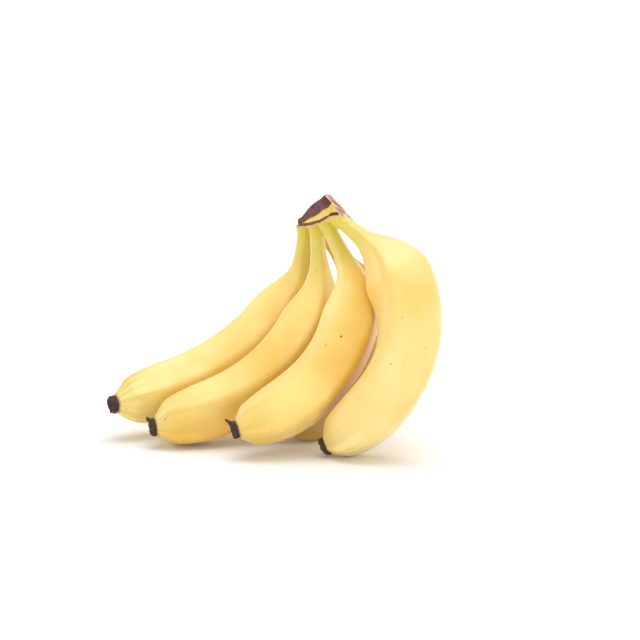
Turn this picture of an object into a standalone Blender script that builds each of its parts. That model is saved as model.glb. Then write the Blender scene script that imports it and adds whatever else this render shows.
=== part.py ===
"""A small bunch of ripe bananas: five fingers on a cut crown, lying on its bellies.

Units are metres, +Z is up and +Y is away from the front. Each finger starts at its root on
the crown, runs down its pedicel, turns through its neck and body in one plane, and ends in
a blunt seat that carries the dried remnant of its blossom. The fingers are swung apart until
they just clear each other, and the whole bunch is turned to the stance in which it lies still.
"""

import math
from collections import namedtuple

import bmesh
import bpy
from mathutils import Matrix, Vector

# Sizes shared by every finger.
PEDICEL_RADIUS = 0.0043
SEAT_RADIUS = 0.0048
NECK_LENGTH = 0.026
RIDGE_HEIGHT = 0.03

# Dried blossom remnant at the end of each finger.
REMNANT_LENGTH = 0.0048
REMNANT_END_RADIUS = 0.0046

# Clearances: between pieces that join, and between fingers that lie side by side.
JOIN_GAP = 0.0003
SIDE_GAP = 0.0005

# The crown: the piece of stalk that the pedicels grow from. Its roots sit on a bowed row.
ROOT_PITCH = 0.0143
ROW_SPACING = 2.0 * (PEDICEL_RADIUS + JOIN_GAP)
ROW_BOW = 0.0022
CROWN_HEIGHT = 0.0154
CROWN_TOP_LENGTH = 0.0250
CROWN_TOP_THICKNESS = 0.0078
SIDE_CUT_REACH = 0.0156
STUB_LENGTH = 0.0080
STUB_FLARE = 1.2
SHOULDER_GAP = 0.00034
STUB_SHOW = STUB_FLARE * PEDICEL_RADIUS + SHOULDER_GAP

# How finely the solids are faceted.
RING_SIDES = 20
BODY_STATIONS = 26
DOME_STATIONS = 5
REMNANT_SIDES = 12
CROWN_SIDES = 24

# Directions are (compass turn from +X towards +Y, drop below level), in degrees.
ROW_DIRECTION = (-57.5, -12.5)
CROWN_DIRECTION = (180.0, -68.0)
TOP_CUT = (201.0, -32.0)
SIDE_CUT = (-28.0, -41.0)
FAN_AXIS = (190.0, 4.0)
ROW_CENTRE = Vector((0.0322, 0.0145, 0.1323))

# place counts roots along the crown from its left end, row 0 is the inner row, and swing is
# the way round the fan axis that a finger gives when its neighbours crowd it. ease is over 1
# where a body bends more near its neck than near its tip. Fingers are placed in this order,
# each one clear of those before it.
FINGER_FIELDS = "name place row swing radius length pedicel flare dome neck_share ease out tip"
Finger = namedtuple("Finger", FINGER_FIELDS)
FINGERS = (
    Finger("banana_2", 1, 0, 1, 0.0176, 0.1755, 0.0265, 0.047, 0.036, 0.10, 1.35, (16.5, 85.5), (195, 8)),
    Finger("banana_3", 2, 0, 1, 0.0168, 0.1580, 0.0270, 0.048, 0.044, 0.12, 1.35, (-23, 61), (193, 16)),
    Finger("banana_4", 3, 0, 1, 0.0190, 0.168, 0.025, 0.038, 0.054, 0.01, 1.25, (-24.5, 35.5), (170.5, 29.5)),
    Finger("banana_1", 0, 0, -1, 0.0176, 0.1850, 0.0285, 0.050, 0.036, 0.19, 1.30, (99, 63), (212.5, 3)),
    Finger("banana_5", 0.5, 1, -1, 0.0175, 0.1650, 0.0305, 0.048, 0.044, 0.00, 1.10, (37, 51), (220.5, -4)),
)
SWING_STEP = 0.25

PEEL = ("ripe_peel", (0.84, 0.56, 0.08, 1.0), 0.45)
CROWN_SKIN = ("crown_skin", (0.58, 0.45, 0.08, 1.0), 0.6)
DRIED = ("dried_blossom", (0.06, 0.03, 0.025, 1.0), 0.85)


def heading(direction):
    """Unit vector of a (turn, drop) pair."""
    turn, drop = (math.radians(angle) for angle in direction)
    return Vector((math.cos(drop) * math.cos(turn), math.cos(drop) * math.sin(turn), -math.sin(drop)))


def smooth_step(value):
    value = min(max(value, 0.0), 1.0)
    return value * value * (3.0 - 2.0 * value)


def outer_side():
    """Level direction from the inner row of roots to the outer row."""
    return Vector((0.0, 0.0, 1.0)).cross(heading(ROW_DIRECTION)).normalized()


def root_of(finger):
    """Where the pedicel leaves the crown."""
    half_row = 1.5 * ROOT_PITCH
    offset = finger.place * ROOT_PITCH - half_row
    bow = ROW_BOW * (1.0 - (offset / half_row) ** 2)
    across = outer_side() * ROW_SPACING * finger.row
    return ROW_CENTRE + heading(ROW_DIRECTION) * offset + across - Vector((0.0, 0.0, bow))


def tangent_at(finger, swing, distance):
    """Direction after a distance: part of the turn is in the neck, and the rest is eased along the body."""
    in_neck = smooth_step((distance - 0.6 * finger.pedicel) / NECK_LENGTH)
    left = min((finger.length - distance) / (finger.length - finger.pedicel), 1.0)
    in_body = 1.0 - max(left, 0.0) ** finger.ease
    share = finger.neck_share * in_neck + (1.0 - finger.neck_share) * in_body
    turn = Matrix.Rotation(math.radians(swing), 3, heading(FAN_AXIS))
    return (turn @ heading(finger.out)).slerp(turn @ heading(finger.tip), share)


def radius_at(finger, distance):
    """Pedicel, flare into the body, and a blunt dome down to the blossom seat."""
    flare = smooth_step((distance - 0.5 * finger.pedicel) / finger.flare)
    body = PEDICEL_RADIUS + (finger.radius - PEDICEL_RADIUS) * flare
    inward = 1.0 - min((finger.length - distance) / finger.dome, 1.0)
    dome = SEAT_RADIUS + (finger.radius - SEAT_RADIUS) * math.sqrt(max(1.0 - inward**2, 0.0))
    return min(body, dome)


def station_distances(finger):
    """Even stations along the body, then closer ones round the dome."""
    rounded = 0.25 * finger.dome
    straight = finger.length - rounded
    body = [straight * step / BODY_STATIONS for step in range(BODY_STATIONS)]
    quarter = 0.5 * math.pi / DOME_STATIONS
    return body + [straight + rounded * math.sin(quarter * step) for step in range(DOME_STATIONS + 1)]


def centreline(finger, swing):
    """(point, tangent, radius) at each station, from the root to the blossom seat."""
    stations = []
    point = root_of(finger)
    previous = 0.0
    for distance in station_distances(finger):
        point = point + tangent_at(finger, swing, 0.5 * (previous + distance)) * (distance - previous)
        stations.append((point, tangent_at(finger, swing, distance), radius_at(finger, distance)))
        previous = distance
    return stations


def clearance(stations, others):
    """Smallest gap between two fingers, each taken as a row of balls as wide as its ridges."""
    reach = 1.0 + RIDGE_HEIGHT
    return min(
        (point - other).length - (radius + other_radius) * reach
        for point, _, radius in stations
        for other, _, other_radius in others
    )


def swung_clear(finger, placed):
    """The finger's stations, at the least swing that clears the fingers already placed."""
    swing = 0.0
    stations = centreline(finger, swing)
    while any(clearance(stations, others) < SIDE_GAP for others in placed):
        swing += finger.swing * SWING_STEP
        stations = centreline(finger, swing)
    return stations


def ring(bm, centre, tangent, side_axis, radius, ridges, sides):
    """A loop round the tangent, with five soft ridges when asked for."""
    inward = tangent.cross(side_axis).normalized()
    loop = []
    for index in range(sides):
        angle = 2.0 * math.pi * index / sides
        reach = radius * (1.0 + ridges * math.cos(5.0 * angle))
        loop.append(bm.verts.new(centre + reach * (math.cos(angle) * inward + math.sin(angle) * side_axis)))
    return loop


def skin(bm, loops):
    """Closes a stack of equal loops into one solid."""
    for lower, upper in zip(loops, loops[1:]):
        for index, vert in enumerate(lower):
            following = (index + 1) % len(lower)
            bm.faces.new((vert, lower[following], upper[following], upper[index]))
    bm.faces.new(reversed(loops[0]))
    bm.faces.new(loops[-1])
    bmesh.ops.recalc_face_normals(bm, faces=bm.faces)


def side_axis_of(stations):
    """Normal of the plane that a finger bends in."""
    return stations[0][1].cross(stations[-1][1]).normalized()


def finger_solid(finger, stations):
    """The fruit with its pedicel."""
    bm = bmesh.new()
    side_axis = side_axis_of(stations)
    loops = []
    for point, tangent, radius in stations:
        fullness = max((radius - SEAT_RADIUS) / (finger.radius - SEAT_RADIUS), 0.0)
        loops.append(ring(bm, point, tangent, side_axis, radius, RIDGE_HEIGHT * fullness, RING_SIDES))
    skin(bm, loops)
    return bm


def remnant_solid(stations):
    """The dried blossom remnant, a short stub seated just off the end of the fruit."""
    bm = bmesh.new()
    seat, tangent, _ = stations[-1]
    start = seat + tangent * JOIN_GAP
    loops = []
    for share, radius in ((0.0, SEAT_RADIUS), (0.6, SEAT_RADIUS), (1.0, REMNANT_END_RADIUS)):
        centre = start + tangent * REMNANT_LENGTH * share
        loops.append(ring(bm, centre, tangent, side_axis_of(stations), radius, 0.0, REMNANT_SIDES))
    skin(bm, loops)
    return bm


def stub_solid(stations):
    """The crown's end of a pedicel, met by the finger face to face."""
    bm = bmesh.new()
    root, tangent, _ = stations[0]
    side_axis = side_axis_of(stations)
    loops = []
    for back, radius in ((JOIN_GAP, PEDICEL_RADIUS), (STUB_LENGTH, PEDICEL_RADIUS * STUB_FLARE)):
        loops.append(ring(bm, root - tangent * back, tangent, side_axis, radius, 0.0, RING_SIDES))
    skin(bm, loops)
    return bm


def cut_flat(bm, point, normal):
    """Cuts off what lies beyond a plane and closes the cut with one flat face."""
    geometry = bm.verts[:] + bm.edges[:] + bm.faces[:]
    bmesh.ops.bisect_plane(bm, geom=geometry, plane_co=point, plane_no=normal, clear_outer=True)
    rim = [edge for edge in bm.edges if edge.is_boundary]
    bmesh.ops.holes_fill(bm, edges=rim)


def top_outline():
    """The rim of the flat cut that frees the crown from its stalk."""
    base = ROW_CENTRE + outer_side() * 0.5 * ROW_SPACING
    centre = base + heading(CROWN_DIRECTION) * CROWN_HEIGHT
    normal = heading(TOP_CUT)
    along = heading(ROW_DIRECTION)
    along = (along - normal * along.dot(normal)).normalized() * 0.5 * CROWN_TOP_LENGTH
    across = normal.cross(along).normalized() * 0.5 * CROWN_TOP_THICKNESS
    angles = [2.0 * math.pi * index / CROWN_SIDES for index in range(CROWN_SIDES)]
    return [centre + along * math.cos(angle) + across * math.sin(angle) for angle in angles]


def crown_block(all_stations):
    """The crown above its stubs: it spans from their upper ends to the cut top."""
    bm = bmesh.new()
    for point in top_outline():
        bm.verts.new(point)
    for stations in all_stations:
        root, tangent, _ = stations[0]
        shoulder = root - tangent * STUB_SHOW
        ring(bm, shoulder, tangent, side_axis_of(stations), PEDICEL_RADIUS * STUB_FLARE, 0.0, RING_SIDES)
    hull = bmesh.ops.convex_hull(bm, input=bm.verts)
    bmesh.ops.delete(bm, geom=hull["geom_interior"], context="VERTS")
    reach = ROW_CENTRE + heading(SIDE_CUT) * SIDE_CUT_REACH
    cut_flat(bm, reach, heading(SIDE_CUT))
    bmesh.ops.recalc_face_normals(bm, faces=bm.faces)
    return bm


def new_object(name, bm, collection):
    mesh = bpy.data.meshes.new(name)
    bm.to_mesh(mesh)
    bm.free()
    mesh.shade_smooth()
    obj = bpy.data.objects.new(name, mesh)
    collection.objects.link(obj)
    return obj


def paint(obj, finish):
    name, colour, roughness = finish
    material = bpy.data.materials.get(name) or bpy.data.materials.new(name)
    material.use_nodes = True
    shader = material.node_tree.nodes["Principled BSDF"]
    shader.inputs["Base Color"].default_value = colour
    shader.inputs["Roughness"].default_value = roughness
    shader.inputs["Metallic"].default_value = 0.0
    obj.data.materials.append(material)


def new_collection(name):
    collection = bpy.data.collections.new(name)
    bpy.context.scene.collection.children.link(collection)
    return collection


def make_crown(all_stations, collection, helpers):
    """Joins one stub for each finger to the crown block."""
    crown = new_object("crown", crown_block(all_stations), collection)
    for index, stations in enumerate(all_stations):
        stub = new_object(f"pedicel_stub_{index + 1}", stub_solid(stations), helpers)
        stub.hide_render = True
        stub.display_type = "WIRE"
        join = crown.modifiers.new(stub.name, "BOOLEAN")
        join.operation = "UNION"
        join.object = stub
    paint(crown, CROWN_SKIN)
    return crown


def solid_points(obj, graph):
    """(corners, volume, volume-weighted centre) of an object as it is evaluated."""
    evaluated = obj.evaluated_get(graph)
    bm = bmesh.new()
    bm.from_mesh(evaluated.to_mesh())
    evaluated.to_mesh_clear()
    bmesh.ops.triangulate(bm, faces=bm.faces)
    volume = 0.0
    moment = Vector((0.0, 0.0, 0.0))
    for face in bm.faces:
        a, b, c = (vert.co for vert in face.verts)
        part = a.dot(b.cross(c)) / 6.0
        volume += part
        moment += (a + b + c) * 0.25 * part
    corners = [vert.co.copy() for vert in bm.verts]
    bm.free()
    return corners, volume, moment


def hull_faces(points):
    """(normal, corners) of each face of the convex hull, with its normal outwards."""
    bm = bmesh.new()
    for point in points:
        bm.verts.new(point)
    bmesh.ops.convex_hull(bm, input=bm.verts)
    middle = sum((vert.co for vert in bm.verts), Vector()) / len(bm.verts)
    faces = []
    for face in bm.faces:
        face.normal_update()
        outwards = (face.calc_center_median() - middle).dot(face.normal) > 0.0
        faces.append((face.normal * (1.0 if outwards else -1.0), [vert.co.copy() for vert in face.verts]))
    bm.free()
    return faces


def resting_turn(points, centre):
    """The rotation that lays the bunch on the three points beneath its centre of mass."""
    down = Vector((0.0, 0.0, -1.0))
    faces = hull_faces(points)
    for _ in range(20):
        reach = [
            ((corners[0] - centre).dot(normal) / down.dot(normal), normal)
            for normal, corners in faces
            if down.dot(normal) > 1e-6
        ]
        _, normal = min(reach, key=lambda item: item[0])
        if down.angle(normal) < 1e-5:
            break
        down = normal
    return down.rotation_difference(Vector((0.0, 0.0, -1.0)))


def main():
    for item in list(bpy.data.objects):
        bpy.data.objects.remove(item)
    collection = new_collection("banana_bunch")
    helpers = new_collection("banana_bunch_helpers")
    parts = []
    placed = []
    for finger in FINGERS:
        stations = swung_clear(finger, placed)
        placed.append(stations)
        fruit = new_object(finger.name, finger_solid(finger, stations), collection)
        paint(fruit, PEEL)
        remnant_name = finger.name.replace("banana", "blossom_remnant")
        remnant = new_object(remnant_name, remnant_solid(stations), collection)
        paint(remnant, DRIED)
        parts += [fruit, remnant]
    parts.append(make_crown(placed, collection, helpers))

    bpy.context.view_layer.update()
    graph = bpy.context.evaluated_depsgraph_get()
    measured = [solid_points(obj, graph) for obj in parts]
    points = [corner for corners, _, _ in measured for corner in corners]
    total = sum(volume for _, volume, _ in measured)
    centre = sum((moment for _, _, moment in measured), Vector()) / total
    turn = resting_turn(points, centre)
    laid = [turn @ point for point in points]
    low = Vector(min(point[axis] for point in laid) for axis in range(3))
    high = Vector(max(point[axis] for point in laid) for axis in range(3))
    frame = bpy.data.objects.new("bunch_frame", None)
    collection.objects.link(frame)
    frame.rotation_mode = "QUATERNION"
    frame.rotation_quaternion = turn
    frame.location = (-0.5 * (low.x + high.x), -0.5 * (low.y + high.y), -low.z)
    for obj in parts + list(helpers.objects):
        obj.parent = frame


main()
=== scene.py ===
"""A small bunch of ripe bananas in a pale studio: five fingers, their dried blossom ends and the cut crown.

Each finger follows the middle line of its CAD solid. Lengths are in metres unless a name says otherwise.
"""
import bisect
import math
import random
from collections import namedtuple

import bmesh
import bpy
from mathutils import Matrix, Vector, noise


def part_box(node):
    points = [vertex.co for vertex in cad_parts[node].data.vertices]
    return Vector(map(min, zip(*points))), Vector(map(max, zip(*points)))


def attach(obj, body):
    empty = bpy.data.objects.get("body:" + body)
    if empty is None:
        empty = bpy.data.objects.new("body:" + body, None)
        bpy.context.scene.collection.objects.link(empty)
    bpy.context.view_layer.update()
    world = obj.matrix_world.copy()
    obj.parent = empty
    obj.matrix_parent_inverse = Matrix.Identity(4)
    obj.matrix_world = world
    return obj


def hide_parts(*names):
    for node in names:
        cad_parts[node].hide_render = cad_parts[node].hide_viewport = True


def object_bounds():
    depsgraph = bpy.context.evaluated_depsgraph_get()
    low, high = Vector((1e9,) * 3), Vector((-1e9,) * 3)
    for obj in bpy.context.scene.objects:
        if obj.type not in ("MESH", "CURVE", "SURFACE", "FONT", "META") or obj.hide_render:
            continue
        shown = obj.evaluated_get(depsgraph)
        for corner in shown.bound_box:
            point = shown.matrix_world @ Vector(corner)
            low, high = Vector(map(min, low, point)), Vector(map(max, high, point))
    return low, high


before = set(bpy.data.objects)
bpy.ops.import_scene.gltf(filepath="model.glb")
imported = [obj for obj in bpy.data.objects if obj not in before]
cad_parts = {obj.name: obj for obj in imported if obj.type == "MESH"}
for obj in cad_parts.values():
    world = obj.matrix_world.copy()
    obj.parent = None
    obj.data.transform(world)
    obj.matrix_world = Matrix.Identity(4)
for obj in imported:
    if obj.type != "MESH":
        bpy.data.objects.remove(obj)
CAD_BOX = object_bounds()

MM = 0.001
MERGE = 0.002 * MM

# The camera stands level with the front of the bunch and a little above it. The bunch sits left of the
# middle of the frame and low in it.
LENS_MM = 80.0
SENSOR_MM = 36.0
VIEW_DROP = 8.44
VIEW_DISTANCE = 0.8557
VIEW_TARGET = Vector((0.0313, -0.0087, 0.0774))

# How finely the surfaces are drawn.
FINGER_SIDES = 112
FINGER_STEP = 1.0 * MM
REMNANT_SIDES = 64
PROFILE_STEP = 0.35 * MM
CROWN_VOXEL = 0.42 * MM

# How far a pedicel runs on inside the crown, how it swells into its neck, and the blunt cone that the
# fruit ends in: its radius at the end and how much that grows with each length back from it.
PEDICEL_INSIDE = 2.5 * MM
NECK_SWELL = 0.16
NECK_MIDDLE = 17.0 * MM
NECK_SPREAD = 22.0 * MM
END_RADIUS = 5.0 * MM
END_SLOPE = 0.95

# Ridges show half as much where a finger is thin as where it is full, and are keener near the blossom end.
# Shares run from 0 at the crown to 1 at the blossom end.
THIN_RADIUS = 4.0 * MM
FULL_RADIUS = 13.0 * MM
KEENER = 2.0
KEENER_FROM = 0.70
KEENER_TO = 0.98

# Swells and dips along the fruit, and creases that run in to its blossom end, as shares of its radius.
SWELL = 0.012
SMALL_SWELL = 0.004
SMALL_SWELL_SCALE = 3.1
SWELL_SPACING = 38.0 * MM
CREASE = 0.010
CREASE_FROM = 0.86
CREASE_TO = 0.97
CREASES_ROUND = 4.0
CREASES_ALONG = 3.0

# Turns go round a finger from the outer side of its bend, in degrees. faces are the middles of its nearly
# flat faces at the crown end, with soft ridges between them, and twist is how far they wind from there to the
# blossom end. keen is how sharp the ridges are. spur is how far a torn bit of the dried blossom sticks out,
# in millimetres. The number after spur is painted light and shade. Below 0, the peel is painted deeper, as
# shade, on the outer side of the bend and paler, as light, on the inner side. Above 0, it is paler on the
# outer side. pale and deep are the peel's two tones, mixed in random patches and by that painted light. A
# mark is a speck, bruise or scuff: along is a share of the finger, and long and wide are in millimetres.
Mark = namedtuple("Mark", "along turn long wide angle tone")
Finger = namedtuple("Finger", "number faces twist keen seed spur belly pale deep marks")
FINGERS = (
    Finger(1, (270, 342, 54, 126, 198), -10, 9.0, 11, 0.3, -0.16, "#F4DA82", "#E8B42C", (
        Mark(0.945, 175, 0.9, 0.6, 0, 0.6),
        Mark(0.985, 262, 2.2, 1.0, 20, 0.5),
    )),
    Finger(2, (317, 29, 101, 173, 245), -50, 9.0, 23, 2.2, -0.16, "#F3D678", "#E6AE22", (
        Mark(0.965, 238, 3.0, 1.2, 35, 0.6),
        Mark(0.982, 281, 1.6, 1.0, 0, 0.7),
        Mark(0.92, 303, 1.0, 0.8, 0, 0.6),
        Mark(0.274, 217, 0.8, 0.6, 0, 0.6),
        Mark(0.131, 241, 0.9, 0.8, 0, 0.5),
    )),
    Finger(3, (275, 342, 54, 129, 205), -5, 8.0, 35, 3.0, -0.14, "#F3D676", "#E6B028", (
        Mark(0.459, 255, 1.6, 1.3, 0, 1.0),
        Mark(0.517, 235, 3.2, 0.5, 8, 0.8),
        Mark(0.399, 259, 1.0, 0.5, 0, 0.5),
        Mark(0.887, 299, 0.9, 0.8, 0, 0.5),
    )),
    Finger(4, (334, 65, 150, 239), -80, 4.8, 47, 0.4, 0.14, "#F1D586", "#E9BC3C", (
        Mark(0.600, 264, 1.4, 0.7, 80, 0.8),
        Mark(0.343, 256, 1.1, 0.9, 0, 0.8),
        Mark(0.348, 303, 1.0, 0.7, 0, 0.4),
        Mark(0.855, 280, 0.9, 0.6, 0, 0.6),
        Mark(0.892, 222, 0.9, 0.8, 0, 0.5),
    )),
    # Finger 5 sits behind the others in the back row. Its pale and deep are painted shade, much darker than
    # the other fingers' peel.
    Finger(5, (0, 72, 144, 216, 288), 20, 8.0, 59, 1.0, -0.10, "#D8AC48", "#A87422", (
        Mark(0.60, 190, 1.2, 0.8, 0, 0.7),
    )),
)

# The dried blossom remnant in profile, as (distance out from its seat, radius) in millimetres: a collar,
# a blunt rim and a hollow middle with the stub of the style in it.
REMNANT_PROFILE = (
    (-1.5, 0.0), (-1.5, 4.4), (0.0, 5.2), (0.9, 5.5), (2.0, 5.4), (2.9, 5.0), (3.2, 4.4), (2.9, 3.7),
    (2.1, 2.9), (1.8, 1.7), (2.4, 1.2), (3.0, 0.8), (3.1, 0.0),
)
SPUR_WAY = Vector((-0.75, 0.0, 0.66))
SPUR_SPREAD = 1.1
SPUR_LIFT = 0.5

# The rim of a remnant: the heights and the distances from the middle over which it starts, how far out of
# round it is and how deep it is torn. The middle spot stays as it is. Crinkles are (depth, spacing).
RIM_HEIGHTS = (1.2 * MM, 3.0 * MM)
RIM_RADII = (2.4 * MM, 4.2 * MM)
REMNANT_OVAL = 0.10
RIM_TEAR = 0.9 * MM
OVAL_SPACING = 4.0 * MM
MIDDLE_SPOT = 0.05 * MM
CRINKLES = ((0.45 * MM, 1.9 * MM), (0.22 * MM, 0.75 * MM))

# The crown's two knife cuts: the ways they face, where they are, how their fibres are torn and drawn out,
# and the tongue of stalk that the side cut leaves lying along the last pedicel.
TOP_CUT_WAY = Vector((-0.79, -0.31, 0.53)).normalized()
TOP_CUT_DEPTH = 0.3 * MM
TOP_CUT_SHARE = 0.92
TOP_ROUGH_SHARE = 0.97
SIDE_CUT_WAY = Vector((0.57, -0.28, 0.77)).normalized()
SIDE_CUT_POINT = Vector((36.0, -1.0, 152.6)) * MM
ON_CUT = 0.05 * MM
CUT_TEAR = 0.45 * MM
SIDE_STREAK = 0.88
SIDE_FIBRE = 1.1 * MM
TOP_FIBRE = 1.6 * MM
TOP_FINE_FIBRE = 0.7 * MM
TOP_STRETCH = 1.3
SIDE_STRETCH = 9.0
TOP_CUT_PART = 1
SIDE_CUT_PART = 2
TONGUE_WAY = Vector((0.617, -0.474, -0.624)).normalized()
TONGUE_DEPTH = 3.2 * MM
TONGUE_LENGTH = 27.0 * MM
TONGUE_RADIUS = 4.6 * MM
TONGUE_END_RADIUS = 3.3 * MM

# Sleeves of crown skin round the starts of the pedicels, with radii as shares of the pedicel's own.
SLEEVE_INSIDE = 4.0 * MM
SLEEVE_OUTSIDE = 4.5 * MM
SLEEVE_TOP = 1.30
SLEEVE_FOOT = 0.97

# How far the crown's edges are softened, how its skin swells, and the torn scar round its foot, with a
# raised lip of dry skin under it.
CROWN_SOFTENING = 6
CROWN_SWELLS = ((0.35, 0.6), (0.12, 2.5))
CROWN_SPOT = 4.0 * MM
SCAR_WAVE = 0.5 * MM
SCAR_HEIGHT = 5.0 * MM
SCAR_WIDTH = 1.9 * MM
SCAR_DEPTH = 0.55
LIP_HEIGHT = 0.25

# Peel, crown and dried colours, as they are seen.
PEEL_FIBRE = "#E2B03A"
NECK_GREEN = "#CDB932"
TIP_GREEN = "#BCAA2C"
RIDGE_OLIVE = "#D2A63C"
SPECK_BROWN = "#7A4A22"
BRUISE_BROWN = "#7E4E26"
DRY_BLACK = "#2B1B19"
DRY_BROWN = "#54342A"
DRY_GREY = "#8A6C68"
CROWN_YELLOW = "#D9BC3E"
CROWN_CREAM = "#DDBA6A"
FOOT_GREEN = "#D2BE48"
LIP_TAN = "#D2A860"
SCAR_BROWN = "#55220F"
CUT_PURPLE = "#6A2E32"
CUT_DARK = "#2F171B"
CUT_ROSE = "#A8483E"
SIDE_ORANGE = "#CF957C"
SIDE_PURPLE = "#83504A"
SIDE_PALE = "#CBB0AE"
STUDIO_WHITE = "#FAFAF8"


# The studio: a floor that curves up into a low wall all round, how its paper glows away from the middle,
# and the softboxes as (name, place, width, watts).
FLOOR_REACH = 2.2
SWEEP_RADIUS = 0.9
SWEEP_STEPS = 12
SWEEP_SIDES = 96
WALL_HEIGHT = 0.3
GLOW = 0.9
GLOW_FROM = 0.25
GLOW_TO = 0.9
DAYLIGHT = 0.42
SOFTBOXES = (
    ("top_softbox", (0.10, 0.15, 1.20), 1.3, 11.3),
    ("front_softbox", (0.10, -0.80, 0.95), 0.8, 1.2),
)


def linear(hex_colour):
    """Turns an sRGB hex colour into the linear RGBA that the shaders take."""
    channels = [int(hex_colour[place:place + 2], 16) / 255.0 for place in (1, 3, 5)]
    return [c / 12.92 if c <= 0.04045 else ((c + 0.055) / 1.055) ** 2.4 for c in channels] + [1.0]


def smooth_step(low, high, value):
    share = min(max((value - low) / (high - low), 0.0), 1.0)
    return share * share * (3.0 - 2.0 * share)


def soft_least(one, other, blend=1.2 * MM):
    """The lesser of two lengths, rounded off where they cross."""
    share = min(max(0.5 + 0.5 * (other - one) / blend, 0.0), 1.0)
    return one * share + other * (1.0 - share) - blend * share * (1.0 - share)


def bell(value, middle_value, width):
    """1 in the middle, falling off to nothing about one width away."""
    return math.exp(-((2.0 * (value - middle_value) / width) ** 2))


# ---------------------------------------------------------------- reading the frame


def merged_copy(node):
    """A bmesh of a CAD node with its loose triangles joined up."""
    bm = bmesh.new()
    bm.from_mesh(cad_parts[node].data)
    bmesh.ops.remove_doubles(bm, verts=bm.verts, dist=MERGE)
    return bm


def middle(points):
    return sum(points, Vector((0.0, 0.0, 0.0))) / len(points)


def flat_patch(face):
    """The faces that lie in one plane with this one and join up with it."""
    patch = {face}
    edge_of_patch = [face]
    while edge_of_patch:
        for edge in edge_of_patch.pop().edges:
            for other in edge.link_faces:
                if other not in patch and other.normal.angle(face.normal) < 0.01:
                    patch.add(other)
                    edge_of_patch.append(other)
    return patch


class Spine:
    """The middle line of a finger, with its thickness, read ring by ring from its CAD solid."""

    def __init__(self, number):
        bm = merged_copy(f"banana_{number}")
        crown = middle(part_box("crown"))
        cap = min(bm.faces, key=lambda face: (face.calc_center_median() - crown).length)
        ring = {vert for face in flat_patch(cap) for vert in face.verts}
        seen = set()
        self.knots = []
        while ring:
            points = [vert.co for vert in sorted(ring, key=lambda vert: vert.index)]
            centre = middle(points)
            radius = sum((point - centre).length for point in points) / len(points)
            self.knots.append(Vector((*centre, radius)))
            seen |= ring
            ring = {edge.other_vert(vert) for vert in ring for edge in vert.link_edges} - seen
        bm.free()
        self.distances = [0.0]
        for before, after in zip(self.knots, self.knots[1:]):
            self.distances.append(self.distances[-1] + (after - before).to_3d().length)
        self.length = self.distances[-1]
        self.slopes = [self.slope(index) for index in range(len(self.knots))]
        first, last = self.slopes[0].to_3d(), self.slopes[-1].to_3d()
        self.side = first.cross(last).normalized()

    def slope(self, index):
        low, high = max(index - 1, 0), min(index + 1, len(self.knots) - 1)
        return (self.knots[high] - self.knots[low]) / (self.distances[high] - self.distances[low])

    def at(self, distance):
        """(centre, direction, radius) at a distance from the crown end; straight on past either end."""
        if distance <= 0.0 or distance >= self.length:
            index = 0 if distance <= 0.0 else -1
            direction = self.slopes[index].to_3d().normalized()
            centre = self.knots[index].to_3d() + direction * (distance - self.distances[index])
            return centre, direction, self.knots[index].w
        index = bisect.bisect_right(self.distances, distance) - 1
        span = self.distances[index + 1] - self.distances[index]
        t = (distance - self.distances[index]) / span
        value = (
            self.knots[index] * (2 * t**3 - 3 * t**2 + 1)
            + self.slopes[index] * span * (t**3 - 2 * t**2 + t)
            + self.knots[index + 1] * (3 * t**2 - 2 * t**3)
            + self.slopes[index + 1] * span * (t**3 - t**2)
        )
        rate = self.slopes[index].lerp(self.slopes[index + 1], t)
        return value.to_3d(), rate.to_3d().normalized(), value.w


SPINES = {finger.number: Spine(finger.number) for finger in FINGERS}


# ---------------------------------------------------------------- meshes


def finish_piece(name, bm, body_slot, materials, *nodes):
    """Makes the mesh a piece of the bunch, standing for its CAD nodes."""
    mesh = bpy.data.meshes.new(name)
    bm.to_mesh(mesh)
    bm.free()
    mesh.shade_smooth()
    piece = bpy.data.objects.new(name, mesh)
    bpy.context.scene.collection.objects.link(piece)
    for material in materials:
        mesh.materials.append(material)
    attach(piece, "root")
    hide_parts(*nodes)
    return piece


def spine_frame(spine, distance):
    """(centre, along, outer, across, radius) of a finger: outer is the outer side of its bend."""
    centre, along, radius = spine.at(distance)
    outer = along.cross(spine.side).normalized()
    return centre, along, outer, outer.cross(along), radius


def face_reach(turn, faces, keen):
    """How far a soft polygon reaches at a turn: least on its faces, and most on its ridges."""
    total = sum(max(math.cos(turn - face), 0.0) ** keen for face in faces)
    return total ** (-1.0 / keen)


def finger_section(finger, spine, distance):
    """The (turn, reach, ridge) of each point round a finger, with reach 1 on average."""
    share = min(max(distance / spine.length, 0.0), 1.0)
    faces = [math.radians(face + finger.twist * share) for face in finger.faces]
    keen = finger.keen + KEENER * smooth_step(KEENER_FROM, KEENER_TO, share)
    turns = [2.0 * math.pi * side / FINGER_SIDES for side in range(FINGER_SIDES)]
    reaches = [face_reach(turn, faces, keen) for turn in turns]
    mean = sum(reaches) / len(reaches)
    most = max(reaches) / mean - 1.0
    return [(turn, reach / mean, max(reach / mean - 1.0, 0.0) / most)
            for turn, reach in zip(turns, reaches)]


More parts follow.
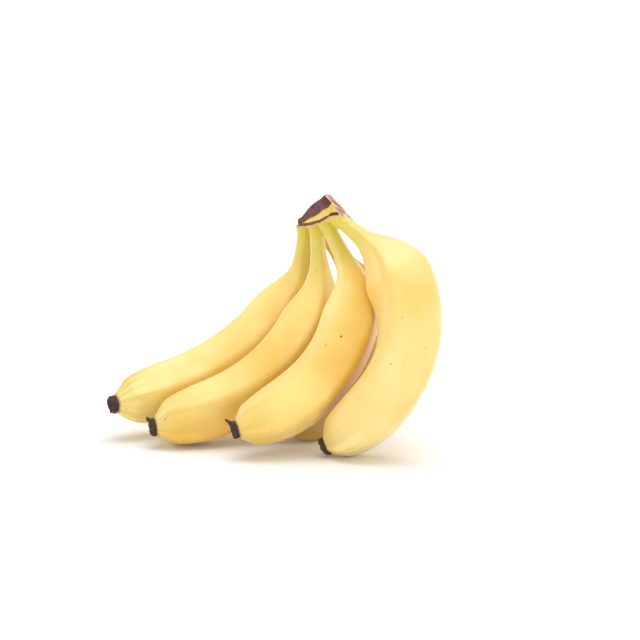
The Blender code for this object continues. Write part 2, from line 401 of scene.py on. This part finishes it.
def finger_mesh(finger, spine):
    """The fruit and its pedicel as one skin, with soft ridges, nearly flat faces and small unevenness."""
    dice = random.Random(finger.seed)
    drift = Vector((dice.uniform(0, 50), dice.uniform(0, 50), dice.uniform(0, 50)))
    total = spine.length + PEDICEL_INSIDE
    steps = round(total / FINGER_STEP)
    bm = bmesh.new()
    ridge_layer = bm.verts.layers.float.new("ridge")
    along_layer = bm.verts.layers.float.new("along")
    fibre_layer = bm.verts.layers.float_vector.new("fibre")
    bmesh.ops.create_grid(bm, x_segments=FINGER_SIDES, y_segments=steps + 2, size=0.5)
    rows = {}
    for vert in bm.verts:
        row = round((vert.co.y + 0.5) * (steps + 2))
        side = round((vert.co.x + 0.5) * FINGER_SIDES) % FINGER_SIDES
        rows.setdefault(row, []).append((side, vert))
    for row, members in rows.items():
        distance = total * min(max(row - 1, 0), steps) / steps - PEDICEL_INSIDE
        centre, along, outer, across, radius = spine_frame(spine, distance)
        share = max(distance, 0.0) / spine.length
        radius *= 1.0 + NECK_SWELL * bell(distance, NECK_MIDDLE, NECK_SPREAD)
        radius = soft_least(radius, END_RADIUS + END_SLOPE * (spine.length - distance))
        fullness = smooth_step(THIN_RADIUS, FULL_RADIUS, radius)
        crease = CREASE * smooth_step(CREASE_FROM, CREASE_TO, share)
        section = finger_section(finger, spine, distance)
        for side, vert in members:
            turn, reach, ridge = section[side]
            cosine, sine = math.cos(turn), math.sin(turn)
            spot = Vector((cosine, sine, distance / SWELL_SPACING)) + drift
            swell = SWELL * noise.noise(spot) + SMALL_SWELL * noise.noise(spot * SMALL_SWELL_SCALE)
            streak = Vector((CREASES_ROUND * cosine, CREASES_ROUND * sine, CREASES_ALONG * share)) + drift
            reach = 1.0 + (reach - 1.0) * (0.5 + 0.5 * fullness) + swell * fullness
            reach += crease * noise.noise(streak)
            if row in (0, steps + 2):
                reach = 0.0
            vert.co = centre + (outer * cosine + across * sine) * radius * reach
            vert[ridge_layer] = ridge * fullness
            vert[along_layer] = share
            vert[fibre_layer] = (cosine, sine, distance / spine.length)
    bmesh.ops.remove_doubles(bm, verts=bm.verts, dist=MERGE)
    bmesh.ops.recalc_face_normals(bm, faces=bm.faces)
    return bm


def spun(profile, sides):
    """A closed solid turned about Z from (height, radius) points, with even short steps along it."""
    bm = bmesh.new()
    points = []
    for (low, inner), (high, outer) in zip(profile, profile[1:]):
        start, end = Vector((inner, 0.0, low)), Vector((outer, 0.0, high))
        count = max(round((end - start).length / PROFILE_STEP), 1)
        points += [start.lerp(end, step / count) for step in range(count)]
    points.append(Vector((profile[-1][1], 0.0, profile[-1][0])))
    verts = [bm.verts.new(point) for point in points]
    edges = [bm.edges.new(pair) for pair in zip(verts, verts[1:])]
    bmesh.ops.spin(bm, geom=verts + edges, cent=(0, 0, 0), axis=(0, 0, 1), angle=2.0 * math.pi,
                   steps=sides, use_merge=True)
    bmesh.ops.remove_doubles(bm, verts=bm.verts, dist=MERGE)
    return bm


def remnant_mesh(finger, spine):
    """The dried end of the blossom: a crinkled, blunt cup with a torn rim, and on some a hooked spur."""
    centre, along, outer, across, _ = spine_frame(spine, spine.length)
    profile = [(height * MM, reach * MM) for height, reach in REMNANT_PROFILE]
    bm = spun(profile, REMNANT_SIDES)
    bmesh.ops.smooth_vert(bm, verts=bm.verts, factor=0.5, use_axis_x=True, use_axis_y=True, use_axis_z=True)
    drift = Vector((finger.seed, 2.0 * finger.seed, 0.0))
    spur_turn = math.atan2(SPUR_WAY.dot(outer), SPUR_WAY.dot(across))
    for vert in bm.verts:
        flat = Vector((vert.co.x, vert.co.y, 0.0))
        if flat.length > MIDDLE_SPOT:
            turn = math.atan2(flat.y, flat.x)
            spot = Vector((math.cos(turn), math.sin(turn), vert.co.z / OVAL_SPACING)) + drift
            flat *= 1.0 + REMNANT_OVAL * noise.noise(spot * 1.3)
            rim = smooth_step(*RIM_HEIGHTS, vert.co.z) * smooth_step(*RIM_RADII, flat.length)
            off = (turn - spur_turn + math.pi) % (2.0 * math.pi) - math.pi
            spur = finger.spur * MM * rim * bell(off, 0.0, SPUR_SPREAD)
            flat += flat.normalized() * spur
            tear = RIM_TEAR * rim * noise.noise(spot * 2.3)
            vert.co = Vector((flat.x, flat.y, vert.co.z + SPUR_LIFT * spur + tear))
        folds = sum(depth * noise.noise(vert.co / spacing + drift) for depth, spacing in CRINKLES)
        vert.co += vert.co.normalized() * folds
    place = Matrix((across, outer, along)).transposed().to_4x4()
    place.translation = centre
    bmesh.ops.transform(bm, matrix=place, verts=bm.verts)
    bmesh.ops.recalc_face_normals(bm, faces=bm.faces)
    return bm


def largest_face(bm, way):
    """The largest face that looks the given way, to within about 3 degrees."""
    facing = [face for face in bm.faces if face.normal.dot(way) > 0.998]
    return max(facing, key=lambda face: face.calc_area())


def remeshed(bm, voxel):
    """The same solid with an even, closed skin of small faces."""
    mesh = bpy.data.meshes.new("crown_blank")
    bm.to_mesh(mesh)
    bm.free()
    blank = bpy.data.objects.new("crown_blank", mesh)
    bpy.context.scene.collection.objects.link(blank)
    remesh = blank.modifiers.new("remesh", "REMESH")
    remesh.mode = "VOXEL"
    remesh.voxel_size = voxel
    graph = bpy.context.evaluated_depsgraph_get()
    even = bpy.data.meshes.new_from_object(blank.evaluated_get(graph))
    bpy.data.objects.remove(blank)
    bpy.data.meshes.remove(mesh)
    result = bmesh.new()
    result.from_mesh(even)
    bpy.data.meshes.remove(even)
    return result


def add_sleeve(bm, start, along, length, near_radius, far_radius):
    """A tapered round sleeve that runs along a pedicel."""
    way = along.to_track_quat("Z", "Y").to_matrix().to_4x4()
    place = Matrix.Translation(start + along * 0.5 * length) @ way
    bmesh.ops.create_cone(bm, cap_ends=True, segments=32, radius1=near_radius, radius2=far_radius,
                          depth=length, matrix=place)


class CrownPlaces:
    """Where things are on the crown: its two cuts, and the height above the row of pedicels."""

    def __init__(self, bm):
        top = largest_face(bm, TOP_CUT_WAY)
        on_top = top.calc_center_median()
        self.top_way = top.normal.copy()
        self.top_point = on_top - self.top_way * TOP_CUT_DEPTH
        rim = [vert.co for vert in bm.verts if abs((vert.co - on_top).dot(self.top_way)) < MERGE]
        starts = [SPINES[number].at(0.0)[0] for number in (1, 2, 3, 4)]
        self.row_start = starts[0]
        self.row_way = (starts[3] - starts[0]).normalized()
        self.across_way = self.top_way.cross(self.row_way).normalized()
        self.along_way = self.across_way.cross(self.top_way)
        self.top_spans = [(min(co.dot(way) for co in rim), max(co.dot(way) for co in rim))
                          for way in (self.along_way, self.across_way)]
        up = self.top_point - middle(starts)
        self.up = (up - self.row_way * up.dot(self.row_way)).normalized()
        offsets = [start - self.row_start for start in starts]
        self.steps = [(offset.dot(self.row_way), offset.dot(self.up)) for offset in offsets]

    def above(self, point):
        """Height above the row of pedicel starts."""
        along = (point - self.row_start).dot(self.row_way)
        height = (point - self.row_start).dot(self.up)
        for (low, low_height), (high, high_height) in zip(self.steps, self.steps[1:]):
            if along <= high or high == self.steps[-1][0]:
                share = min(max((along - low) / (high - low), 0.0), 1.0)
                return height - low_height - (high_height - low_height) * share

    def top_spread(self, point):
        """0 at the middle of the top cut and 1 on its rim."""
        shares = []
        for way, (low, high) in zip((self.along_way, self.across_way), self.top_spans):
            shares.append((2.0 * point.dot(way) - low - high) / (high - low))
        return math.hypot(*shares)

    def top_gap(self, point):
        return (self.top_point - point).dot(self.top_way)

    def side_gap(self, point):
        return (SIDE_CUT_POINT - point).dot(SIDE_CUT_WAY)


def crown_blank():
    """The CAD crown with sleeves round the pedicels and the tongue added, under one soft skin."""
    bm = merged_copy("crown")
    for spine in SPINES.values():
        centre, along, radius = spine.at(0.0)
        start = centre - along * SLEEVE_INSIDE
        length = SLEEVE_INSIDE + SLEEVE_OUTSIDE
        add_sleeve(bm, start, along, length, SLEEVE_TOP * radius, SLEEVE_FOOT * radius)
    tongue_start = SIDE_CUT_POINT - SIDE_CUT_WAY * TONGUE_DEPTH
    add_sleeve(bm, tongue_start, TONGUE_WAY, TONGUE_LENGTH, TONGUE_RADIUS, TONGUE_END_RADIUS)
    bm = remeshed(bm, CROWN_VOXEL)
    for _ in range(CROWN_SOFTENING):
        bmesh.ops.smooth_vert(bm, verts=bm.verts, factor=0.5, use_axis_x=True, use_axis_y=True,
                              use_axis_z=True)
    bm.normal_update()
    return bm


def crown_mesh():
    """The crown that the pedicels grow from, with two cuts and a scar round its foot."""
    cad = merged_copy("crown")
    places = CrownPlaces(cad)
    cad.free()
    bm = crown_blank()
    above_layer = bm.verts.layers.float.new("above")
    side_layer = bm.verts.layers.float.new("side_gap")
    top_layer = bm.verts.layers.float.new("top_gap")
    for vert in bm.verts:
        spot = vert.co / CROWN_SPOT
        height = places.above(vert.co) + SCAR_WAVE * noise.noise(spot)
        scar = bell(height, SCAR_HEIGHT, SCAR_WIDTH)
        lip = bell(height, SCAR_HEIGHT - 0.9 * SCAR_WIDTH, 0.8 * SCAR_WIDTH)
        swell = sum(rise * noise.noise(spot * scale) for rise, scale in CROWN_SWELLS)
        vert.co += vert.normal * MM * (swell + LIP_HEIGHT * lip - SCAR_DEPTH * scar)
        if places.top_spread(vert.co) < 1.0:
            vert.co += places.top_way * min(places.top_gap(vert.co), 0.0)
        vert.co += SIDE_CUT_WAY * min(places.side_gap(vert.co), 0.0)
        vert[above_layer] = height / MM
        vert[side_layer] = places.side_gap(vert.co) / MM
        vert[top_layer] = places.top_gap(vert.co) / MM
    for face in bm.faces:
        point = face.calc_center_median()
        if places.side_gap(point) < ON_CUT:
            face.material_index = SIDE_CUT_PART
        elif places.top_spread(point) < TOP_CUT_SHARE and face.normal.dot(places.top_way) > 0.5:
            face.material_index = TOP_CUT_PART
    roughen_cuts(bm, places, side_layer, top_layer)
    bmesh.ops.recalc_face_normals(bm, faces=bm.faces)
    return bm


def roughen_cuts(bm, places, side_layer, top_layer):
    """Tears the fibres of both cuts: in long streaks down the side cut, and in short ones on the top cut."""
    for vert in bm.verts:
        if vert[side_layer] * MM < ON_CUT:
            streak = vert.co - TONGUE_WAY * vert.co.dot(TONGUE_WAY) * SIDE_STREAK
            rough = noise.noise(streak / SIDE_FIBRE)
            vert.co -= SIDE_CUT_WAY * CUT_TEAR * (0.5 + 0.5 * rough)
        elif places.top_spread(vert.co) < TOP_ROUGH_SHARE and vert[top_layer] * MM < ON_CUT:
            rough = noise.noise(vert.co / TOP_FIBRE) + 0.5 * noise.noise(vert.co / TOP_FINE_FIBRE)
            vert.co -= places.top_way * CUT_TEAR * (0.5 + 0.5 * rough)


# ---------------------------------------------------------------- materials

# Socket numbers of a Mix node set to colours.
MIX_FACTOR, MIX_UNDER, MIX_OVER, MIX_RESULT = 0, 6, 7, 2


def add_node(material, kind, links=None, **settings):
    """Adds a node to a material: links gives its inputs values or sockets, and settings are its own."""
    tree = material.node_tree
    made = tree.nodes.new(kind)
    for name, value in settings.items():
        setattr(made, name, value)
    for key, value in (links or {}).items():
        if isinstance(value, bpy.types.NodeSocket):
            tree.links.new(value, made.inputs[key])
        else:
            made.inputs[key].default_value = value
    return made


def new_material(name):
    material = bpy.data.materials.new(name)
    material.use_nodes = True
    material.node_tree.nodes.clear()
    return material


def layered(material, base, layers):
    """Lays colours over a base, each by a factor from 0 to 1."""
    colour = base
    for factor, over in layers:
        links = {MIX_FACTOR: factor, MIX_UNDER: colour, MIX_OVER: over}
        colour = add_node(material, "ShaderNodeMix", links, data_type="RGBA").outputs[MIX_RESULT]
    return colour


def mark_factors(material, finger, wobbled):
    """A factor for each placed speck, bruise or scuff: a small patch on the surface with a frayed edge."""
    spine = SPINES[finger.number]
    factors = []
    for mark in finger.marks:
        centre, along, outer, across, radius = spine_frame(spine, mark.along * spine.length)
        turn = math.radians(mark.turn)
        out = outer * math.cos(turn) + across * math.sin(turn)
        place = Matrix((along, out.cross(along), out)).transposed()
        place = place @ Matrix.Rotation(math.radians(mark.angle), 3, "Z")
        spot = add_node(material, "ShaderNodeMapping", {
            "Vector": wobbled,
            "Location": centre + out * radius,
            "Rotation": place.to_euler(),
            "Scale": (0.5 * mark.long * MM, 0.5 * mark.wide * MM, 2.0 * MM),
        }, vector_type="TEXTURE")
        away = add_node(material, "ShaderNodeVectorMath", {0: spot.outputs[0]}, operation="LENGTH")
        factors.append(add_node(material, "ShaderNodeMapRange", {
            "Value": away.outputs["Value"], "From Min": 1.3, "From Max": 0.6, "To Max": mark.tone,
        }, interpolation_type="SMOOTHSTEP").outputs[0])
    return factors


def peel_material(finger):
    """Ripe banana peel, a thin waxy skin: a soft, broad gloss over a yellow that deepens in random patches.
    As painted light and shade, the yellow is also paler on one side of its bend than the other. It has fine
    lengthwise fibres, green still in the neck and tip, and a few brown specks."""
    material = new_material(f"ripe_peel_{finger.number}")
    place = add_node(material, "ShaderNodeTexCoord").outputs["Object"]
    fibre = add_node(material, "ShaderNodeAttribute", attribute_name="fibre").outputs["Vector"]
    along = add_node(material, "ShaderNodeAttribute", attribute_name="along").outputs["Fac"]
    ridge = add_node(material, "ShaderNodeAttribute", attribute_name="ridge").outputs["Fac"]

    # Patches about 40 mm across, then fibres about 1 mm apart and a few centimetres long.
    patches = add_node(material, "ShaderNodeTexNoise", {"Vector": place, "Scale": 25.0, "Detail": 2.0})
    # Painted light and shade: the peel tone is shifted paler or deeper by which side of its bend it faces, on
    # top of the random patches.
    facing = add_node(material, "ShaderNodeSeparateXYZ", {"Vector": fibre})
    belly = add_node(material, "ShaderNodeMath", {
        0: facing.outputs["X"], 1: finger.belly, 2: patches.outputs[0]}, operation="MULTIPLY_ADD")
    patch = add_node(material, "ShaderNodeMapRange",
                     {"Value": belly.outputs[0], "From Min": 0.22, "From Max": 0.72})
    stretched = add_node(material, "ShaderNodeMapping", {"Vector": fibre, "Scale": (16.0, 16.0, 7.0)})
    fibres = add_node(material, "ShaderNodeTexNoise", {
        "Vector": stretched.outputs[0], "Scale": 1.0, "Detail": 3.0})
    fibre_part = add_node(material, "ShaderNodeMapRange", {
        "Value": fibres.outputs[0], "From Min": 0.5, "From Max": 0.75, "To Max": 0.14})

    # Green in the pedicel and neck, and in streaks that run in to the blossom end.
    neck = add_node(material, "ShaderNodeMapRange", {
        "Value": along, "From Min": 0.24, "From Max": 0.08, "To Max": 0.85}, interpolation_type="SMOOTHSTEP")
    tip = add_node(material, "ShaderNodeMapRange", {
        "Value": along, "From Min": 0.80, "From Max": 1.0, "To Max": 0.85}, interpolation_type="SMOOTHSTEP")
    rays = add_node(material, "ShaderNodeMapping", {"Vector": fibre, "Scale": (3.2, 3.2, 1.2)})
    ray_noise = add_node(material, "ShaderNodeTexNoise", {
        "Vector": rays.outputs[0], "Scale": 1.0, "Detail": 2.0})
    ray = add_node(material, "ShaderNodeMapRange", {
        "Value": ray_noise.outputs[0], "From Min": 0.40, "From Max": 0.66})
    green_tip = add_node(material, "ShaderNodeMath", {
        0: tip.outputs[0], 1: ray.outputs[0]}, operation="MULTIPLY")
    ridge_part = add_node(material, "ShaderNodeMapRange", {
        "Value": ridge, "From Min": 0.55, "From Max": 1.0, "To Max": 0.22}, interpolation_type="SMOOTHSTEP")

    # Brown specks 0.3 to 0.9 mm across, one to each few square centimetres.
    cells = add_node(material, "ShaderNodeTexVoronoi", {"Vector": place, "Scale": 150.0})
    size = add_node(material, "ShaderNodeMapRange", {
        "Value": cells.outputs["Color"], "From Min": 0.45, "From Max": 1.0, "To Min": 0.0, "To Max": 0.085})
    inside = add_node(material, "ShaderNodeMath", {0: cells.outputs["Distance"], 1: size.outputs[0]},
                      operation="LESS_THAN")
    speck = add_node(material, "ShaderNodeMath", {0: inside.outputs[0], 1: 0.55}, operation="MULTIPLY")
    rim = add_node(material, "ShaderNodeMapRange", {
        "Value": along, "From Min": 0.990, "From Max": 0.999, "To Max": 0.85},
        interpolation_type="SMOOTHSTEP")

    fray = add_node(material, "ShaderNodeTexNoise", {"Vector": place, "Scale": 1100.0, "Detail": 1.0})
    wobbled = add_node(material, "ShaderNodeVectorMath", {
        0: fray.outputs["Color"], 1: (0.8 * MM, 0.8 * MM, 0.8 * MM), 2: place}, operation="MULTIPLY_ADD")
    marks = mark_factors(material, finger, wobbled.outputs[0])

    colour = layered(material, linear(finger.deep), [
        (patch.outputs[0], linear(finger.pale)),
        (fibre_part.outputs[0], linear(PEEL_FIBRE)),
        (ridge_part.outputs[0], linear(RIDGE_OLIVE)),
        (neck.outputs[0], linear(NECK_GREEN)),
        (green_tip.outputs[0], linear(TIP_GREEN)),
        (speck.outputs[0], linear(SPECK_BROWN)),
        (rim.outputs[0], linear(DRY_BROWN)),
    ] + [(mark, linear(BRUISE_BROWN)) for mark in marks])

    # Pores about 0.6 mm apart over the fibres, a few hundredths of a millimetre deep.
    pores = add_node(material, "ShaderNodeTexNoise", {"Vector": place, "Scale": 1600.0, "Detail": 2.0})
    pore_bump = add_node(material, "ShaderNodeBump", {
        "Strength": 0.10, "Distance": 0.10 * MM, "Height": pores.outputs[0]})
    bump = add_node(material, "ShaderNodeBump", {
        "Strength": 0.12, "Distance": 0.20 * MM, "Height": fibres.outputs[0], "Normal": pore_bump.outputs[0]})
    rough = add_node(material, "ShaderNodeMapRange", {
        "Value": fibres.outputs[0], "From Min": 0.3, "From Max": 0.7, "To Min": 0.40, "To Max": 0.52})
    shader = add_node(material, "ShaderNodeBsdfPrincipled", {
        "Base Color": colour, "Roughness": rough.outputs[0], "IOR": 1.5, "Normal": bump.outputs[0],
        "Subsurface Weight": 0.04, "Subsurface Radius": (1.0, 0.55, 0.12), "Subsurface Scale": 2.5 * MM,
        "Specular IOR Level": 0.8, "Coat Weight": 0.25, "Coat Roughness": 0.45,
        "Sheen Weight": 0.35, "Sheen Roughness": 0.6, "Sheen Tint": linear("#FFF2D8")})
    add_node(material, "ShaderNodeOutputMaterial", {"Surface": shader.outputs[0]})
    return material


def dried_material():
    """Dried blossom, shrivelled plant fibre: black in its folds, brown on them and grey where frayed."""
    material = new_material("dried_blossom_fibre")
    place = add_node(material, "ShaderNodeTexCoord").outputs["Object"]
    folds = add_node(material, "ShaderNodeTexNoise", {"Vector": place, "Scale": 900.0, "Detail": 4.0})
    frays = add_node(material, "ShaderNodeTexNoise", {"Vector": place, "Scale": 2300.0, "Detail": 3.0})
    fold = add_node(material, "ShaderNodeMapRange", {
        "Value": folds.outputs[0], "From Min": 0.42, "From Max": 0.62})
    fray = add_node(material, "ShaderNodeMapRange", {
        "Value": frays.outputs[0], "From Min": 0.56, "From Max": 0.72, "To Max": 0.6})
    colour = layered(material, linear(DRY_BLACK), [
        (fold.outputs[0], linear(DRY_BROWN)),
        (fray.outputs[0], linear(DRY_GREY)),
    ])
    bump = add_node(material, "ShaderNodeBump", {
        "Strength": 0.7, "Distance": 0.5 * MM, "Height": frays.outputs[0]})
    shader = add_node(material, "ShaderNodeBsdfPrincipled", {
        "Base Color": colour, "Roughness": 0.72, "IOR": 1.45, "Normal": bump.outputs[0]})
    add_node(material, "ShaderNodeOutputMaterial", {"Surface": shader.outputs[0]})
    return material


def crown_skin_material():
    """Crown skin, the last living green of the stalk: satin yellow-green, a torn brown scar round its foot,
    a dry tan lip under that, and a pale dried edge along the cuts."""
    material = new_material("crown_skin")
    place = add_node(material, "ShaderNodeTexCoord").outputs["Object"]
    above = add_node(material, "ShaderNodeAttribute", attribute_name="above").outputs["Fac"]
    side = add_node(material, "ShaderNodeAttribute", attribute_name="side_gap").outputs["Fac"]
    top = add_node(material, "ShaderNodeAttribute", attribute_name="top_gap").outputs["Fac"]
    patches = add_node(material, "ShaderNodeTexNoise", {"Vector": place, "Scale": 130.0, "Detail": 3.0})
    cream = add_node(material, "ShaderNodeMapRange", {
        "Value": patches.outputs[0], "From Min": 0.46, "From Max": 0.66, "To Max": 0.7})
    scar_high = (SCAR_HEIGHT + 0.5 * SCAR_WIDTH) / MM
    scar_low = (SCAR_HEIGHT - 0.5 * SCAR_WIDTH) / MM
    under = add_node(material, "ShaderNodeMapRange", {
        "Value": above, "From Min": scar_high + 0.15, "From Max": scar_high - 0.15})
    lip = add_node(material, "ShaderNodeMapRange", {
        "Value": above, "From Min": scar_low + 0.15, "From Max": scar_low - 0.15})
    foot = add_node(material, "ShaderNodeMapRange", {
        "Value": above, "From Min": scar_low - 0.5, "From Max": scar_low - 1.6})
    pale = add_node(material, "ShaderNodeMapRange", {"Value": side, "From Min": 0.9, "From Max": 0.4})
    burnt = add_node(material, "ShaderNodeMapRange", {"Value": top, "From Min": 0.35, "From Max": 0.1})
    dots = add_node(material, "ShaderNodeTexVoronoi", {"Vector": place, "Scale": 260.0})
    dot = add_node(material, "ShaderNodeMapRange", {
        "Value": dots.outputs["Distance"], "From Min": 0.16, "From Max": 0.08, "To Max": 0.6})
    colour = layered(material, linear(CROWN_YELLOW), [
        (cream.outputs[0], linear(CROWN_CREAM)),
        (dot.outputs[0], linear(SPECK_BROWN)),
        (under.outputs[0], linear(SCAR_BROWN)),
        (lip.outputs[0], linear(LIP_TAN)),
        (foot.outputs[0], linear(FOOT_GREEN)),
        (burnt.outputs[0], linear(SCAR_BROWN)),
        (pale.outputs[0], linear(SIDE_PALE)),
    ])
    bump = add_node(material, "ShaderNodeBump", {
        "Strength": 0.3, "Distance": 0.3 * MM, "Height": patches.outputs[0]})
    shader = add_node(material, "ShaderNodeBsdfPrincipled", {
        "Base Color": colour, "Roughness": 0.5, "IOR": 1.5, "Normal": bump.outputs[0]})
    add_node(material, "ShaderNodeOutputMaterial", {"Surface": shader.outputs[0]})
    return material


def cut_material(name, stretch, colours):
    """A dried knife cut through the stalk: torn fibre in darkened sap colours, matt and rough. Its pattern
    is drawn out along the tongue by stretch."""
    material = new_material(name)
    place = add_node(material, "ShaderNodeTexCoord").outputs["Object"]
    turn = TONGUE_WAY.to_track_quat("X", "Z").inverted().to_euler()
    lined = add_node(material, "ShaderNodeMapping", {
        "Vector": place, "Rotation": turn, "Scale": (1.0 / stretch, 1.0, 1.0)})
    broad = add_node(material, "ShaderNodeTexNoise", {
        "Vector": lined.outputs[0], "Scale": 430.0, "Detail": 3.0})
    fine = add_node(material, "ShaderNodeTexNoise", {
        "Vector": lined.outputs[0], "Scale": 1500.0, "Detail": 3.0})
    base, over, light = colours
    band = add_node(material, "ShaderNodeMapRange", {
        "Value": broad.outputs[0], "From Min": 0.44, "From Max": 0.58})
    fleck = add_node(material, "ShaderNodeMapRange", {
        "Value": fine.outputs[0], "From Min": 0.54, "From Max": 0.68, "To Max": 0.7})
    colour = layered(material, linear(base), [
        (band.outputs[0], linear(over)),
        (fleck.outputs[0], linear(light)),
    ])
    bump = add_node(material, "ShaderNodeBump", {
        "Strength": 0.6, "Distance": 0.4 * MM, "Height": fine.outputs[0]})
    shader = add_node(material, "ShaderNodeBsdfPrincipled", {
        "Base Color": colour, "Roughness": 0.6, "IOR": 1.45, "Normal": bump.outputs[0]})
    add_node(material, "ShaderNodeOutputMaterial", {"Surface": shader.outputs[0]})
    return material


def paper_material():
    """Matt white studio paper, evenly bright: it is lit from behind away from the middle, where the
    softboxes fall off, so no horizon shows."""
    material = new_material("matt_white_paper")
    place = add_node(material, "ShaderNodeTexCoord").outputs["Object"]
    away = add_node(material, "ShaderNodeVectorMath", {0: place}, operation="LENGTH")
    glow = add_node(material, "ShaderNodeMapRange", {
        "Value": away.outputs["Value"], "From Min": GLOW_FROM, "From Max": GLOW_TO, "To Max": GLOW},
        interpolation_type="SMOOTHSTEP")
    shader = add_node(material, "ShaderNodeBsdfPrincipled", {
        "Base Color": linear(STUDIO_WHITE), "Roughness": 0.9, "Specular IOR Level": 0.0,
        "Emission Color": linear(STUDIO_WHITE), "Emission Strength": glow.outputs[0]})
    add_node(material, "ShaderNodeOutputMaterial", {"Surface": shader.outputs[0]})
    return material


# ---------------------------------------------------------------- studio


def studio():
    """A round sweep: a flat floor whose rim curves up all the way round."""
    bm = bmesh.new()
    outline = [Vector((0.0, 0.0, 0.0)), Vector((FLOOR_REACH, 0.0, 0.0))]
    for step in range(1, SWEEP_STEPS + 1):
        angle = 0.5 * math.pi * step / SWEEP_STEPS
        rise = SWEEP_RADIUS * (1.0 - math.cos(angle))
        outline.append(Vector((FLOOR_REACH + SWEEP_RADIUS * math.sin(angle), 0.0, rise)))
    outline.append(outline[-1] + Vector((0.0, 0.0, WALL_HEIGHT)))
    verts = [bm.verts.new(point) for point in outline]
    edges = [bm.edges.new(pair) for pair in zip(verts, verts[1:])]
    bmesh.ops.spin(bm, geom=verts + edges, cent=(0, 0, 0), axis=(0, 0, 1), angle=2.0 * math.pi,
                   steps=SWEEP_SIDES, use_merge=True)
    bmesh.ops.remove_doubles(bm, verts=bm.verts, dist=MERGE)
    bmesh.ops.recalc_face_normals(bm, faces=bm.faces)
    mesh = bpy.data.meshes.new("studio_sweep")
    bm.to_mesh(mesh)
    bm.free()
    mesh.shade_smooth()
    sweep = bpy.data.objects.new("studio_sweep", mesh)
    mesh.materials.append(paper_material())
    bpy.context.scene.collection.objects.link(sweep)


def lights():
    """Even white daylight, and round softboxes that are aimed at the bunch."""
    world = bpy.data.worlds.new("soft_daylight")
    bpy.context.scene.world = world
    world.use_nodes = True
    background = world.node_tree.nodes["Background"]
    background.inputs["Color"].default_value = linear("#FFFFFF")
    background.inputs["Strength"].default_value = DAYLIGHT
    aim = middle(CAD_BOX)
    for name, place, width, watts in SOFTBOXES:
        light = bpy.data.lights.new(name, "AREA")
        light.shape = "DISK"
        light.size = width
        light.energy = watts
        lamp = bpy.data.objects.new(name, light)
        bpy.context.scene.collection.objects.link(lamp)
        lamp.location = place
        lamp.rotation_euler = (aim - Vector(place)).to_track_quat("-Z", "Y").to_euler()


def camera():
    """A long lens, level across and tipped a little down."""
    lens = bpy.data.cameras.new("camera")
    lens.lens = LENS_MM
    lens.sensor_width = SENSOR_MM
    eye = bpy.data.objects.new("camera", lens)
    bpy.context.scene.collection.objects.link(eye)
    drop = math.radians(VIEW_DROP)
    look = Vector((0.0, math.cos(drop), -math.sin(drop)))
    eye.location = VIEW_TARGET - look * VIEW_DISTANCE
    eye.rotation_euler = look.to_track_quat("-Z", "Y").to_euler()
    bpy.context.scene.camera = eye


def build_bunch():
    """Makes every finished piece and puts it in place of its CAD node."""
    dried = dried_material()
    for finger in FINGERS:
        number, spine = finger.number, SPINES[finger.number]
        finish_piece(f"finger_{number}", finger_mesh(finger, spine), "ripe_peel", [peel_material(finger)],
                     f"banana_{number}")
        finish_piece(f"dried_blossom_{number}", remnant_mesh(finger, spine), "dried_blossom", [dried],
                     f"blossom_remnant_{number}")
    crown = crown_mesh()
    top_cut = cut_material("dried_top_cut", TOP_STRETCH, (CUT_DARK, CUT_PURPLE, CUT_ROSE))
    side_cut = cut_material("dried_side_cut", SIDE_STRETCH, (SIDE_PURPLE, SIDE_ORANGE, SIDE_PALE))
    finish_piece("stalk_crown", crown, "cut_crown", [crown_skin_material(), top_cut, side_cut], "crown")


def main():
    studio()
    lights()
    camera()
    bpy.context.scene.view_settings.view_transform = "Standard"
    build_bunch()


main()
